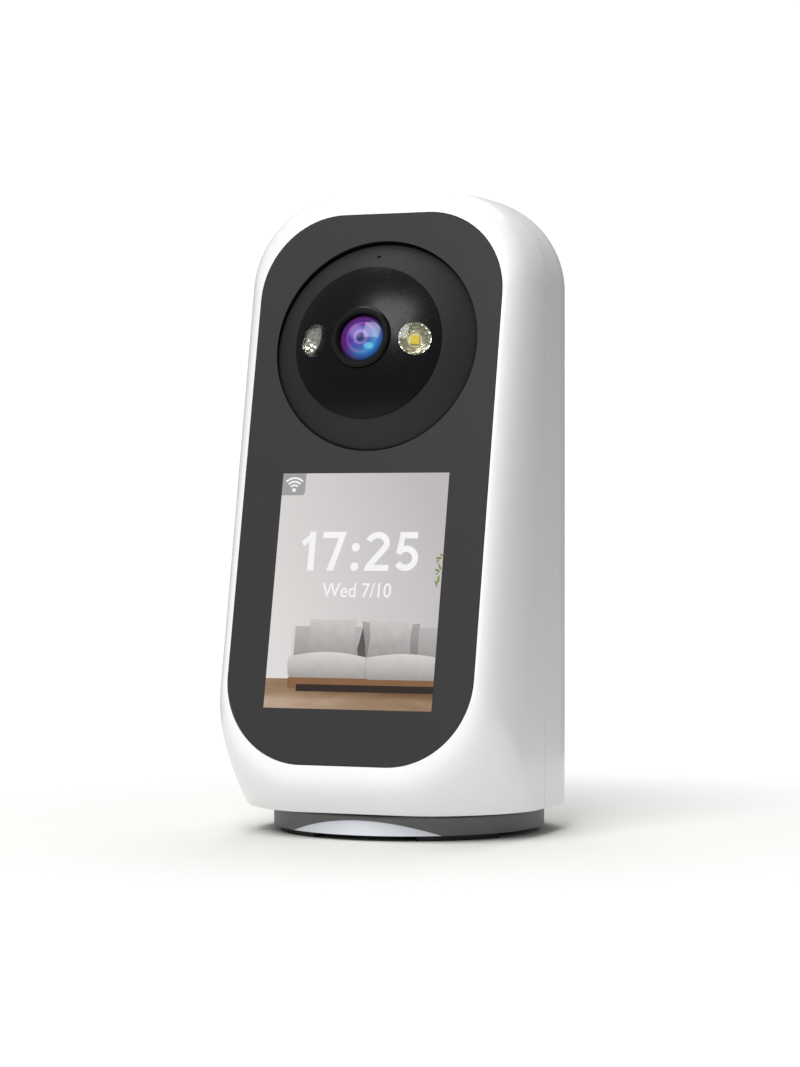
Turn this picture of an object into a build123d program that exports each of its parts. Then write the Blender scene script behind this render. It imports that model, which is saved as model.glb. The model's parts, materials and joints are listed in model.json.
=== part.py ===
from build123d import *
import math
import os

# Smart home hub: a white tower with a leaning dark front panel, a tilting camera eye, a small
# screen and a round swivel base.  Millimetres, +Z up, -Y is the front.  The origin is on the
# ground, on the swivel axis of the base.

# ---- driving dimensions ------------------------------------------------------------------
# tower
body_half_width = 37.7
body_bottom = 6.75
body_top = 157.0
top_corner_radius = 23.2
wall = 2.2
seam_y = -5.7
seam_gap = 0.24
tongue_depth = 3.0
tongue_thickness = 1.2
tongue_gap = 0.12
back_ellipse_start = 5.0
back_ellipse_depth = 33.0

# front panel: a flat sheet that leans back
lean = 12.1
panel_y = -29.35
panel_z = 85.32
panel_half_width = 31.55
panel_half_height = 66.5
panel_corner_radius = 20.6
panel_thickness = 1.8
panel_gap = 0.15
tape_thickness = 0.15
ledge_thickness = 1.4
ledge_width = 2.0

# rounding of the tower from the panel's edge to its sides
rounding_depth_top = 13.5
rounding_depth_bottom = 24.4
chin_drop = 26.7

# screen: 2.8 inch, 3:4
screen_width = 43.2
screen_height = 57.6
screen_v = -25.8
screen_window_depth = 0.5
cell_back_depth = 3.0
backlight_back_depth = 5.2
module_half_width = 24.6
module_top_v = 3.3
module_bottom_v = -58.0
tray_sheet = 0.3

# camera eye: a spherical cap that tilts about its own centre
eye_v = 34.2
eye_radius = 36.0
eye_sink = 25.6
eye_hole_radius = 26.2
eye_hole_v = 34.9
eye_running_gap = 0.35
dome_edge_radius = 18.9
shell_inset = 0.25
shell_thickness = 1.75
shell_rim_angle = 67.0
tilt_limit = 20.0
lens_ring_radius = 7.55
glass_radius = 5.8
lamp_offset = 13.2
lamp_radius = 4.0
microphone_angle = 38.3

# eye carrier and pivots
arm_outer_x = 32.0
arm_thickness = 2.2
arm_half_width = 7.0
pivot_radius = 2.0
pivot_gap = 0.05
yoke_inner_x = 32.4
yoke_outer_x = 34.0

# gears, all with a 25 degree pressure angle
pressure_angle = 25.0
backlash = 0.07
tilt_module = 0.6
tilt_gear_teeth = 47
tilt_pinion_teeth = 13
tilt_gear_x = 26.8
tilt_gear_thickness = 3.0
tilt_mesh_direction = -60.0
pan_module = 0.7
pan_gear_teeth = 44
pan_pinion_teeth = 12
pan_gear_bottom = 10.0
pan_gear_thickness = 3.5

# motors
motor_radius = 10.0
motor_length = 14.0
motor_shaft_radius = 1.5
motor_ear_reach = 13.0
motor_ear_thickness = 0.8

# base
base_radius = 33.7
base_bottom = 1.4
base_top = 6.0
base_wall = 1.8
base_deck = 1.6
hub_radius = 8.0
hub_bore_radius = 4.5
hub_gap = 0.05
hub_flat_x = 7.2
floor_thickness = 2.0
foot_inner_radius = 27.5
foot_outer_radius = 32.0
foot_half_angle = 20.0
foot_ring_radius = 28.0
inlay_half_width = 19.35
inlay_rise = 3.6
inlay_thickness = 1.2

# boards
board_thickness = 1.6
main_board_depth = 12.0
port_board_z = 20.0
speaker_z = 62.0
speaker_radius = 18.0

# ---- frames ------------------------------------------------------------------------------
tangent = math.tan(math.radians(lean))
sine = math.sin(math.radians(lean))
cosine = math.cos(math.radians(lean))

# x along X, y up the panel, z out of the panel
PANEL = Plane(origin=(0, panel_y, panel_z), x_dir=(1, 0, 0), z_dir=(0, -cosine, sine))
eye_centre = PANEL.from_local_coords((0, eye_v, -eye_sink))
EYE = Plane(origin=eye_centre, x_dir=(1, 0, 0), z_dir=(0, -cosine, sine))
mesh_distance = tilt_module * (tilt_gear_teeth + tilt_pinion_teeth) / 2
mesh_angle = math.radians(tilt_mesh_direction)
pinion_y = eye_centre.Y + mesh_distance * math.cos(mesh_angle)
pinion_z = eye_centre.Z + mesh_distance * math.sin(mesh_angle)
pan_pinion_y = -pan_module * (pan_gear_teeth + pan_pinion_teeth) / 2


def along_x(x, y, z):
    """Frame whose z is +X, x is +Y and y is +Z."""
    return Plane(origin=(x, y, z), x_dir=(0, 1, 0), z_dir=(1, 0, 0))


def along_y(x, y, z):
    """Frame whose z is +Y and x is +X."""
    return Plane(origin=(x, y, z), x_dir=(1, 0, 0), z_dir=(0, 1, 0))


def rod(frame, radius, length):
    """Cylinder that starts at the frame's origin and runs along its z."""
    return extrude(frame * Circle(radius), length)


def tube(frame, outer, inner, length):
    return rod(frame, outer, length) - rod(frame, inner, length)


def block(low, high):
    """Box between two corners."""
    size = [high[i] - low[i] for i in range(3)]
    middle = [(high[i] + low[i]) / 2 for i in range(3)]
    return Pos(*middle) * Box(*size)


def panel_block(low, high):
    """Box between two corners given in the panel's own frame."""
    return PANEL * block(low, high)


def behind_panel(depth):
    """Everything further back than a depth behind the panel's face."""
    return panel_block((-100, -150, -200), (100, 150, -depth))


def in_front_of(depth):
    return panel_block((-100, -150, -depth), (100, 150, 60))


# ---- envelope of the tower ---------------------------------------------------------------
def outline(half_width, top, bottom, top_radius, bottom_radius):
    """Rounded rectangle in the XZ plane."""
    w = half_width
    rt = top_radius
    rb = bottom_radius
    half = math.sqrt(0.5)

    def at(x, z):
        return Vector(x, 0, z)

    def corner(cx, cz, r, sx, sz, first, last):
        middle = at(cx + sx * r * half, cz + sz * r * half)
        return Edge.make_three_point_arc(first, middle, last)

    corners = [at(-w + rb, bottom), at(w - rb, bottom), at(w, bottom + rb), at(w, top - rt),
               at(w - rt, top), at(-w + rt, top), at(-w, top - rt), at(-w, bottom + rb)]
    edges = [
        Edge.make_line(corners[0], corners[1]),
        corner(w - rb, bottom + rb, rb, 1, -1, corners[1], corners[2]),
        Edge.make_line(corners[2], corners[3]),
        corner(w - rt, top - rt, rt, 1, 1, corners[3], corners[4]),
        Edge.make_line(corners[4], corners[5]),
        corner(-w + rt, top - rt, rt, -1, 1, corners[5], corners[6]),
        Edge.make_line(corners[6], corners[7]),
        corner(-w + rb, bottom + rb, rb, -1, -1, corners[7], corners[0]),
    ]
    return Wire(edges)


def lean_back(wire, fraction, setback):
    """Shear a section onto the plane that lies this fraction of the rounding's depth behind the
    panel; the depth grows from the top of the tower to its bottom."""
    growth = (rounding_depth_bottom - rounding_depth_top) / (body_top - body_bottom)
    slope = tangent - fraction * growth
    shift = panel_y - panel_z * tangent + setback
    shift += fraction * (rounding_depth_top + growth * body_top)
    shear = Matrix([[1, 0, 0, 0], [0, 1, slope, shift], [0, 0, 1, 0], [0, 0, 0, 1]])
    return wire.transform_geometry(shear)


def front_envelope(inset=0.0, setback=0.0):
    """Front of the tower: sections that grow by an elliptical law from the panel's outline to
    the full width, and that reach below the floor plane so that the chin tapers."""
    panel_top = panel_z + panel_half_height
    panel_foot = panel_z - panel_half_height
    sections = []
    for degrees in range(0, 91, 10):
        a = math.radians(degrees)
        rise = math.sin(min(2.2 * a, math.pi / 2))
        half_width = panel_half_width + (body_half_width - panel_half_width) * math.sin(a)
        top = panel_top + (body_top - panel_top) * rise
        bottom = panel_foot - chin_drop * math.sin(a / 2)
        top_radius = panel_corner_radius
        top_radius += (top_corner_radius - panel_corner_radius) * math.sin(a)
        bottom_radius = panel_corner_radius + 14.0 * math.sin(1.5 * a) - 13.0 * math.sin(a)
        wire = outline(half_width - inset, top - inset, bottom + inset,
                       top_radius - inset, bottom_radius - inset)
        sections.append(lean_back(wire, 1 - math.cos(a), setback))
    last_radius = panel_corner_radius + 14.0 * math.sin(1.5 * math.pi / 2) - 13.0
    for fraction in (1.15, 1.35, 1.6, 1.9, 2.2, 2.5):
        bottom = panel_foot - chin_drop * math.sqrt(fraction / 2)
        bottom_radius = max(last_radius - 14.0 * (fraction - 1), 8.0)
        wire = outline(body_half_width - inset, body_top - inset, bottom + inset,
                       top_corner_radius - inset, bottom_radius - inset)
        sections.append(lean_back(wire, fraction, setback))
    return Solid.make_loft(sections)


join_y = 1.0
join_step = 0.03


def rear_envelope(inset=0.0):
    """Back of the tower: straight sides, then half an ellipse in plan, with a round top edge.
    It is a hair smaller than the front, so that the two outlines never cross where they meet."""
    inset += join_step
    w = body_half_width - inset
    depth = back_ellipse_depth - inset
    start = back_ellipse_start
    plan = make_face(Wire([
        Edge.make_line((-w, join_y), (w, join_y)),
        Edge.make_line((w, join_y), (w, start)),
        Edge.make_ellipse(w, depth, Plane((0, start, 0)), start_angle=0, end_angle=180),
        Edge.make_line((-w, start), (-w, join_y)),
    ]))
    prism = extrude(Pos(0, 0, body_bottom) * plan, body_top - inset - body_bottom)
    rim = prism.edges().group_by(Axis.Z)[-1]
    rim = [edge for edge in rim if abs(edge.center().Y - join_y) > 0.01]
    return fillet(rim, top_corner_radius - inset)


def envelope(inset=0.0, setback=0.0):
    front = front_envelope(inset, setback) & block((-60, -80, body_bottom), (60, join_y, 200))
    return front + rear_envelope(inset)


cavity_setback = (panel_thickness + tape_thickness + ledge_thickness) / cosine


def cavity(inset=wall):
    return envelope(inset, cavity_setback + inset - wall)


def between_y(shape, low, high):
    return shape & block((-60, low, 0), (60, high, 200))


def panel_prism(inset):
    """Panel outline carried straight through the tower along Y."""
    wire = outline(panel_half_width - inset, panel_z + panel_half_height - inset,
                   panel_z - panel_half_height + inset, panel_corner_radius - inset,
                   panel_corner_radius - inset)
    return extrude(Pos(0, -70, 0) * make_face(wire), 90, dir=(0, 1, 0))


# ---- gears and screws --------------------------------------------------------------------
def involute(angle):
    return math.tan(angle) - angle


def tooth_half_angle(radius, teeth, module):
    """Half the angle that a tooth takes at a radius."""
    pitch = module * teeth / 2
    pressure = math.radians(pressure_angle)
    base = pitch * math.cos(pressure)
    at_pitch = (math.pi * module / 2 - backlash) / (2 * pitch)
    here = involute(math.acos(base / radius)) if radius > base else 0.0
    return at_pitch + involute(pressure) - here


def gear_outline(teeth, module, direction, first=0, count=None):
    """Involute gear with a tooth centred on a direction; count limits it to a sector."""
    pitch = module * teeth / 2
    base = pitch * math.cos(math.radians(pressure_angle))
    root = pitch - 1.2 * module
    tip = pitch + 0.85 * module
    flank_foot = max(base, root)
    radii = [flank_foot + (tip - flank_foot) * i / 3 for i in range(4)]
    foot_angle = tooth_half_angle(flank_foot, teeth, module)
    step = 2 * math.pi / teeth
    whole = count is None
    last = first + (teeth if whole else count) - 1

    def at(radius, angle):
        return Vector(radius * math.cos(angle), radius * math.sin(angle))

    edges = []
    for i in range(first, last + 1):
        middle = math.radians(direction) + step * i
        rising = [at(r, middle - tooth_half_angle(r, teeth, module)) for r in radii]
        falling = [at(r, middle + tooth_half_angle(r, teeth, module)) for r in reversed(radii)]
        valley_start = at(root, middle + foot_angle)
        valley_end = at(root, middle + step - foot_angle)
        if base > root:
            edges.append(Edge.make_line(at(root, middle - foot_angle), rising[0]))
        edges.append(Edge.make_spline(rising))
        edges.append(Edge.make_three_point_arc(rising[-1], at(tip, middle), falling[0]))
        edges.append(Edge.make_spline(falling))
        if base > root:
            edges.append(Edge.make_line(falling[-1], valley_start))
        if whole or i < last:
            valley = at(root, middle + step / 2)
            edges.append(Edge.make_three_point_arc(valley_start, valley, valley_end))
    if not whole:
        edges.append(Edge.make_line(edges[-1] @ 1, Vector(0, 0)))
        edges.append(Edge.make_line(Vector(0, 0), edges[0] @ 0))
    return make_face(Wire(edges))


def screw(frame, length, radius, head_radius, head_height):
    """Pan-head screw: the head stands on the frame, the shank runs along -z."""
    head = Pos(0, 0, head_height / 2) * Cylinder(head_radius, head_height)
    head = chamfer(head.edges().group_by(Axis.Z)[-1], head_height * 0.35)
    for size in ((head_radius * 1.2, 0.35, head_height), (0.35, head_radius * 1.2, head_height)):
        head -= Pos(0, 0, head_height) * Box(*size)
    return frame * (head + Pos(0, 0, -length / 2) * Cylinder(radius, length))


def group(shapes):
    return Compound(children=[solid for shape in shapes for solid in shape.solids()])


# ---- housing -----------------------------------------------------------------------------
yoke_screw_spots = [(30.2, 87.0), (-30.2, 87.0), (29.0, 140.0), (-29.0, 140.0)]
board_screw_spots = [(28.0, -8.0), (-28.0, -8.0), (28.0, -46.0), (-28.0, -46.0)]
front_floor_spots = [(27.5, -17.0), (-27.5, -17.0)]
rear_floor_spots = [(27.5, 14.0), (-27.5, 14.0)]
port_post_spots = [(14.0, 19.5), (-14.0, 19.5)]
yoke_tab_y = -5.0
boss_radius = 2.6
pilot_radius = 0.75
floor_boss_top = 19.0
floor_top = body_bottom + floor_thickness


def floor_boss(x, y):
    """Screw boss that stands on the floor plate, tied to the side wall by a web."""
    top = floor_boss_top
    boss = rod(Plane((x, y, floor_top)), boss_radius, top - floor_top)
    side = math.copysign(body_half_width, x)
    web = block((min(x, side), y - 0.8, floor_top), (max(x, side), y + 0.8, top))
    return boss + web


def floor_pilot(x, y):
    return rod(Plane((x, y, floor_top - 1)), pilot_radius, floor_boss_top - floor_top - 1)


def front_shell(outer, inner):
    shell = between_y(outer - inner, -80, seam_y - seam_gap / 2)
    posts = []
    for x, z in yoke_screw_spots:
        posts.append(rod(along_y(x, -45, z), boss_radius, yoke_tab_y + 45))
    for x, v in board_screw_spots:
        posts.append(rod(PANEL * Pos(x, v, -main_board_depth), boss_radius, main_board_depth))
    posts += [floor_boss(x, y) for x, y in front_floor_spots]
    inside = envelope(0.9, 0.9) & behind_panel(panel_thickness + tape_thickness + 0.2)
    inside = between_y(inside, -80, yoke_tab_y)
    for post in posts:
        shell += post & inside
    pocket = panel_prism(-panel_gap) & in_front_of(panel_thickness + tape_thickness)
    opening = panel_prism(ledge_width) & in_front_of(cavity_setback * cosine + 0.3)
    shell = shell - pocket - opening
    for x, z in yoke_screw_spots:
        shell -= rod(along_y(x, yoke_tab_y - 6, z), pilot_radius, 7)
    for x, v in board_screw_spots:
        shell -= rod(PANEL * Pos(x, v, -main_board_depth), pilot_radius, 5)
    for x, y in front_floor_spots:
        shell -= floor_pilot(x, y)
    return shell


def seam_tongue():
    """Lip on the rear cover that reaches forward inside the front shell."""
    forward = cavity(wall + tongue_gap) - cavity(wall + tongue_gap + tongue_thickness)
    forward = between_y(forward, seam_y - tongue_depth, seam_y + 0.6)
    root = cavity(wall - 0.4) - cavity(wall + tongue_gap + tongue_thickness)
    root = between_y(root, seam_y + 0.5, seam_y + 3.0)
    lip = forward + root
    for x, y in front_floor_spots:
        lip -= block((x - 5, -20, 0), (x + 5, 0, floor_boss_top + 1))
    for x, z in yoke_screw_spots:
        lip -= rod(along_y(x, -20, z), boss_radius + 0.5, 20)
    return lip & block((-60, -20, floor_top + 0.2), (60, 20, 200))


socket_z = port_board_z + board_thickness + 1.63
button_x = 14.0
button_z = socket_z
card_y = 11.0
card_z = port_board_z + board_thickness + 0.9
speaker_back_y = 30.2


def stadium(x, y, z, width, height, length):
    """Flat-sided round-ended prism along +Y."""
    return extrude(along_y(x, y, z) * SlotOverall(width, height), length)


def speaker_grille():
    holes = []
    pitch = 3.4
    for row in range(-3, 4):
        for column in range(-3, 4):
            x = (column + (row % 2) / 2) * pitch
            z = row * pitch * math.sqrt(0.75)
            if math.hypot(x, z) < 11.5:
                holes.append(rod(along_y(x, 20, speaker_z + z), 0.8, 30))
    return holes


def rear_cover(outer, inner):
    shell = between_y(outer - inner, seam_y + seam_gap / 2, 80)
    shell += seam_tongue()
    inside = envelope(0.9)
    for x, y in rear_floor_spots:
        shell += floor_boss(x, y) & inside
    speaker_ring = tube(along_y(0, 27.5, speaker_z), speaker_radius + 1.5, speaker_radius + 0.2, 4)
    speaker_seat = tube(along_y(0, speaker_back_y, speaker_z), speaker_radius + 1.5,
                        speaker_radius - 2.2, 10)
    button_guide = tube(along_y(button_x, 30.4, button_z), 4.2, 2.5, 8)
    port_frame = stadium(0, 34.4, socket_z, 15.0, 9.0, 4)
    for feature in (speaker_ring, speaker_seat, button_guide, port_frame):
        shell += feature & inside
    shell -= rod(along_y(button_x, 25, button_z), 2.5, 20)
    shell -= stadium(0, 36.8, socket_z, 12.6, 6.8, 5)
    shell -= stadium(0, 30, socket_z, 9.3, 3.6, 10)
    shell -= block((-40, card_y - 6.2, card_z - 0.9), (-30, card_y + 6.2, card_z + 0.9))
    for x, y in rear_floor_spots:
        shell -= floor_pilot(x, y)
    for hole in speaker_grille():
        shell -= hole
    return shell


def floor_plate():
    slab = block((-60, -80, body_bottom), (60, 80, floor_top))
    plate = cavity(wall + 0.15) & slab
    plate += rod(Plane((0, 0, floor_top)), hub_radius + 2.6, pan_gear_bottom - floor_top - 0.05)
    plate += group([rod(Plane((x, pan_pinion_y, floor_top)), 2.8, motor_bottom - floor_top)
                    for x in (motor_ear_reach, -motor_ear_reach)])
    plate += group([rod(Plane((x, y, floor_top)), boss_radius, port_board_z - floor_top)
                    for x, y in port_post_spots])
    plate -= rod(Plane((0, 0, 0)), hub_radius + hub_gap, 20)
    for x in (motor_ear_reach, -motor_ear_reach):
        plate -= rod(Plane((x, pan_pinion_y, motor_bottom - 5)), pilot_radius, 6)
    for x, y in port_post_spots:
        plate -= rod(Plane((x, y, port_board_z - 5)), pilot_radius, 6)
    for x, y in front_floor_spots + rear_floor_spots:
        plate -= rod(Plane((x, y, 0)), 1.0, 20)
        plate -= rod(Plane((x, y, body_bottom - 1)), 1.9, 2.25)
    return plate


motor_bottom = pan_gear_bottom + pan_gear_thickness + 2.6
floor_screw_seat = body_bottom + 1.25


def floor_screws():
    down = [Plane(origin=(x, y, floor_screw_seat), x_dir=(1, 0, 0), z_dir=(0, 0, -1))
            for x, y in front_floor_spots + rear_floor_spots]
    return group([screw(frame, 8, pilot_radius, 1.7, 1.1) for frame in down])


# ---- front panel and screen --------------------------------------------------------------
def front_panel():
    sheet = panel_prism(0) & panel_block((-60, -90, -panel_thickness), (60, 90, 0))
    sheet -= rod(PANEL * Pos(0, eye_hole_v, -5), eye_hole_radius, 10)
    sheet -= EYE * Sphere(eye_radius + eye_running_gap)
    half_w = screen_width / 2
    half_h = screen_height / 2
    sheet -= panel_block((-half_w, screen_v - half_h, -5), (half_w, screen_v + half_h, 5))
    return sheet


def panel_tape():
    """Ring of double-sided tape that holds the panel to the ledge of the front shell."""
    back = panel_thickness + tape_thickness
    ring = panel_prism(0.3) - panel_prism(ledge_width)
    return ring & panel_block((-60, -90, -back), (60, 90, -panel_thickness))


def screen_window():
    half_w = screen_width / 2 - 0.05
    half_h = screen_height / 2 - 0.05
    return panel_block((-half_w, screen_v - half_h, -screen_window_depth),
                       (half_w, screen_v + half_h, 0))


def screen_cell():
    half_w = screen_width / 2 - 0.05
    half_h = screen_height / 2 - 0.05
    rim = module_half_width - tray_sheet - 0.1
    picture = panel_block((-half_w, screen_v - half_h, -cell_back_depth),
                          (half_w, screen_v + half_h, -screen_window_depth))
    glass = panel_block((-rim, module_bottom_v + 0.5, -cell_back_depth),
                        (rim, module_top_v - 0.1, -panel_thickness - 0.05))
    return picture + glass


def screen_backlight():
    rim = module_half_width - tray_sheet - 0.1
    return panel_block((-rim, module_bottom_v + 0.5, -backlight_back_depth),
                       (rim, module_top_v - 0.1, -cell_back_depth))


def screen_tray():
    """Sheet-metal tray behind and around the screen."""
    w = module_half_width
    back = backlight_back_depth + tray_sheet
    tray = panel_block((-w, module_bottom_v, -back), (w, module_top_v + 0.2, -1.9))
    tray -= panel_block((-w + tray_sheet, module_bottom_v + 0.3, -backlight_back_depth),
                        (w - tray_sheet, module_top_v, 5))
    slot = panel_block((-8, module_bottom_v - 1, -backlight_back_depth - 0.1),
                       (8, module_bottom_v + 1, -3.4))
    return tray - slot


def screen_ribbon():
    """Flat cable from the foot of the screen back to the main board."""
    start = Vector(-3.75, module_bottom_v + 0.5)
    fold_v = module_bottom_v - 1.8
    end_depth = -main_board_depth + 0.2
    path = FilletPolyline(start, (start.X, fold_v), (-7.0, fold_v), (-7.0, -56.0),
                          (end_depth, -49.0), (end_depth, -44.0), radius=1.0)
    strip = trace(path, line_width=0.25)
    side = Plane(origin=PANEL.origin, x_dir=PANEL.z_dir, z_dir=(-1, 0, 0))
    return extrude(side * strip, amount=7, both=True)


# ---- camera eye --------------------------------------------------------------------------
def spherical_shell(outer, inner, first_angle, last_angle):
    """Part of a hollow ball between two angles from the lens axis, in the eye's frame."""
    first = math.radians(first_angle)
    last = math.radians(last_angle)
    middle = (first + last) / 2

    def at(radius, angle):
        return Vector(radius * math.sin(angle), 0, radius * math.cos(angle))

    profile = make_face(Wire([
        Edge.make_three_point_arc(at(outer, first), at(outer, middle), at(outer, last)),
        Edge.make_line(at(outer, last), at(inner, last)),
        Edge.make_three_point_arc(at(inner, last), at(inner, middle), at(inner, first)),
        Edge.make_line(at(inner, first), at(outer, first)),
    ]))
    return Rot(0, 0, 50) * revolve(profile, Axis.Z, 360)


def ball(radius):
    """Solid ball in the eye's frame, with its poles away from the lens and the lamps."""
    return Rot(90, 0, 0) * Sphere(radius)


lamp_angle = math.degrees(math.asin(lamp_offset / eye_radius))
dome_edge_angle = math.degrees(math.asin(dome_edge_radius / eye_radius))
carrier_front = 22.0
carrier_back = 20.0
carrier_radius = 23.5
carrier_post_radius = 21.0
carrier_post_angles = (45, 135, 225, 315)
lamp_socket_back = 30.8
lamp_board_front = 33.8
lamp_lens_back = 35.2
lens_body_radius = 6.4


def lamp_frame(side, distance):
    """Frame on a lamp's axis, at a distance from the eye's centre."""
    return Rot(0, side * lamp_angle, 0) * Pos(0, 0, distance)


def local_rod(location, radius, length):
    return location * Pos(0, 0, length / 2) * Cylinder(radius, length)


def local_tube(location, outer, inner, length):
    return local_rod(location, outer, length) - local_rod(location, inner, length)


def ring_spots(radius, angles):
    return [(radius * math.cos(math.radians(a)), radius * math.sin(math.radians(a)))
            for a in angles]


def eye_shell():
    """Matt outer zone of the eye with its screw posts and the microphone hole."""
    outer = eye_radius - shell_inset
    inner = outer - shell_thickness
    shell = spherical_shell(outer, inner, dome_edge_angle + 0.25, shell_rim_angle)
    inside = ball(inner + 0.5)
    for x, y in ring_spots(carrier_post_radius, carrier_post_angles):
        post = local_rod(Pos(x, y, carrier_front), 2.2, 10) & inside
        shell += post
    for x, y in ring_spots(carrier_post_radius, carrier_post_angles):
        shell -= local_rod(Pos(x, y, carrier_front - 1), pilot_radius, 4)
    shell -= local_rod(Rot(-microphone_angle, 0, 0) * Pos(0, 0, 30), 0.5, 10)
    return EYE * shell


def eye_dome():
    """Glossy middle of the eye: lens and lamp openings, lamp sockets and a skirt."""
    inner = eye_radius - 1.8
    dome = spherical_shell(eye_radius, inner, 8.0, dome_edge_angle)
    skirt = local_tube(Pos(0, 0, carrier_front), 16.7, 15.3, 12) & ball(inner + 0.5)
    dome += skirt
    inside = ball(eye_radius - 0.3)
    for side in (1, -1):
        dome += local_rod(lamp_frame(side, lamp_socket_back), 4.8, 6) & inside
    for side in (1, -1):
        dome -= local_rod(lamp_frame(side, 25), lamp_radius + 0.1, 15)
    dome -= local_rod(Pos(0, 0, 15), lens_ring_radius + 0.15, 30)
    return EYE * dome


def eye_carrier():
    """Frame inside the eye: a plate for shell, dome and camera, and two arms to the pivots."""
    plate = local_rod(Pos(0, 0, carrier_back), carrier_radius, carrier_front - carrier_back)
    plate -= local_rod(Pos(0, 0, 10), lens_body_radius + 0.3, 20)
    arm_x = arm_outer_x - arm_thickness / 2
    path = Polyline((22.0, 21.0), (23.5, 20.4), (arm_x, 7.5), (arm_x, 0.0))
    strip = trace(path, line_width=arm_thickness)
    arm = extrude(Plane.XZ * strip, amount=arm_half_width, both=True)
    end = local_rod(Pos(arm_outer_x - arm_thickness, 0, 0) * Rot(0, 90, 0),
                    arm_half_width - 1, arm_thickness)
    arm = arm - Pos(arm_x, 0, -1.5) * Box(8, 40, 8) + end
    arm += block((arm_outer_x - arm_thickness, -arm_half_width + 1, 0),
                 (arm_outer_x, arm_half_width - 1, 4))
    arm -= local_rod(Pos(20, 0, 0) * Rot(0, 90, 0), pivot_radius + pivot_gap, 20)
    carrier = plate + arm + mirror(arm, about=Plane.YZ)
    for x, y in ring_spots(carrier_post_radius, carrier_post_angles):
        carrier -= local_rod(Pos(x, y, 10), 1.0, 20)
    for x, y in camera_post_spots:
        carrier += local_rod(Pos(x, y, camera_board_front), 1.8, carrier_back - camera_board_front)
        carrier -= local_rod(Pos(x, y, camera_board_front - 1), pilot_radius, 4)
    for y in sector_screw_y:
        carrier -= local_rod(Pos(25, y, sector_screw_z) * Rot(0, 90, 0), pilot_radius, 15)
    return EYE * carrier


camera_board_front = 14.2
camera_board_back = 13.0
camera_board_half = 11.0
camera_post_spots = [(9.0, 9.0), (-9.0, -9.0), (9.0, -9.0), (-9.0, 9.0)]
sector_screw_y = (2.6, -2.6)
sector_screw_z = 4.7


def camera_board():
    half = camera_board_half
    board = block((-half, -half, camera_board_back), (half, half, camera_board_front))
    for x, y in camera_post_spots:
        board -= local_rod(Pos(x, y, 5), 0.95, 20)
    return EYE * board


def image_sensor():
    z = camera_board_front
    return EYE * block((-4.2, -4.2, z), (4.2, 4.2, z + 0.9))


def lens_holder():
    """Square foot of the lens over the image sensor, open through the middle."""
    z = camera_board_front
    holder = block((-7, -7, z), (7, 7, z + 3.8))
    holder -= block((-4.6, -4.6, z - 1), (4.6, 4.6, z + 1.4))
    return EYE * (holder - local_rod(Pos(0, 0, z), 4.3, 10))


def lens_barrel():
    z = camera_board_front + 3.8
    barrel = local_tube(Pos(0, 0, z), lens_body_radius, 5.2, 33.4 - z)
    barrel += local_tube(Pos(0, 0, z), lens_body_radius, 4.3, 1.2)
    barrel += local_tube(Pos(0, 0, 28.4), 5.6, 4.4, 1.0)
    return EYE * barrel


def lens_rear_glass():
    disc = local_rod(Pos(0, 0, 19.4), 5.15, 4.5)
    return EYE * (disc & Pos(0, 0, 12.4) * Sphere(11.2))


def lens_middle_glass():
    disc = local_rod(Pos(0, 0, 29.5), 5.15, 2.6)
    return EYE * (disc & Pos(0, 0, 22.6) * Sphere(9.2))


def lens_front_glass():
    disc = local_rod(Pos(0, 0, 33.5), glass_radius, 3.0)
    return EYE * (disc & Pos(0, 0, 22.2) * Sphere(13.4))


def lens_ring():
    """Round nose of the lens around the front glass, with a sloping inner lip."""
    ring = local_tube(Pos(0, 0, 33.4), lens_ring_radius, glass_radius + 0.02, 2.7)
    rim = ring.edges().group_by(Axis.Z)[-1]
    return EYE * chamfer(rim.sort_by(lambda edge: edge.radius), 0.45)


def lamp_reflector(side):
    depth = lamp_lens_back - lamp_board_front
    cup = local_rod(lamp_frame(side, lamp_board_front), lamp_radius, depth)
    cup -= lamp_frame(side, lamp_board_front + depth / 2 + 0.1) * Cone(1.75, 3.7, depth - 0.2)
    cup -= local_rod(lamp_frame(side, lamp_board_front - 0.5), 1.75, 0.9)
    return EYE * cup


def both_sides(make):
    return group([make(1), make(-1)])


def lamp_led(side):
    chip = Pos(0, 0, 0.3) * Box(2.2, 2.2, 0.6)
    return EYE * (lamp_frame(side, lamp_board_front) * chip)


def lamp_board(side):
    return EYE * local_rod(lamp_frame(side, lamp_board_front - 1.0), lamp_radius, 1.0)


def lamp_lens(side):
    disc = local_rod(lamp_frame(side, lamp_lens_back), lamp_radius, 1.0)
    return EYE * (disc & ball(eye_radius - 0.05))


def microphone():
    can = local_rod(Rot(-microphone_angle, 0, 0) * Pos(0, 0, 31.0), 1.8, 1.2)
    return EYE * can


def microphone_boot():
    """Rubber cup that seals the microphone against the inside of the eye."""
    place = Rot(-microphone_angle, 0, 0)
    cup = local_tube(place * Pos(0, 0, 30.6), 2.6, 1.8, 3.6)
    cup += local_tube(place * Pos(0, 0, 32.2), 2.6, 0.6, 2.0)
    return EYE * (cup & ball(eye_radius - shell_inset - shell_thickness))


def eye_screws():
    places = [Pos(x, y, carrier_back) * Rot(180, 0, 0)
              for x, y in ring_spots(carrier_post_radius, carrier_post_angles)]
    places += [Pos(x, y, camera_board_back) * Rot(180, 0, 0) for x, y in camera_post_spots]
    places += [Pos(tilt_gear_x, y, sector_screw_z) * Rot(0, -90, 0) for y in sector_screw_y]
    return group([screw(EYE * place, 4.0, pilot_radius, 1.5, 0.7) for place in places])


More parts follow.
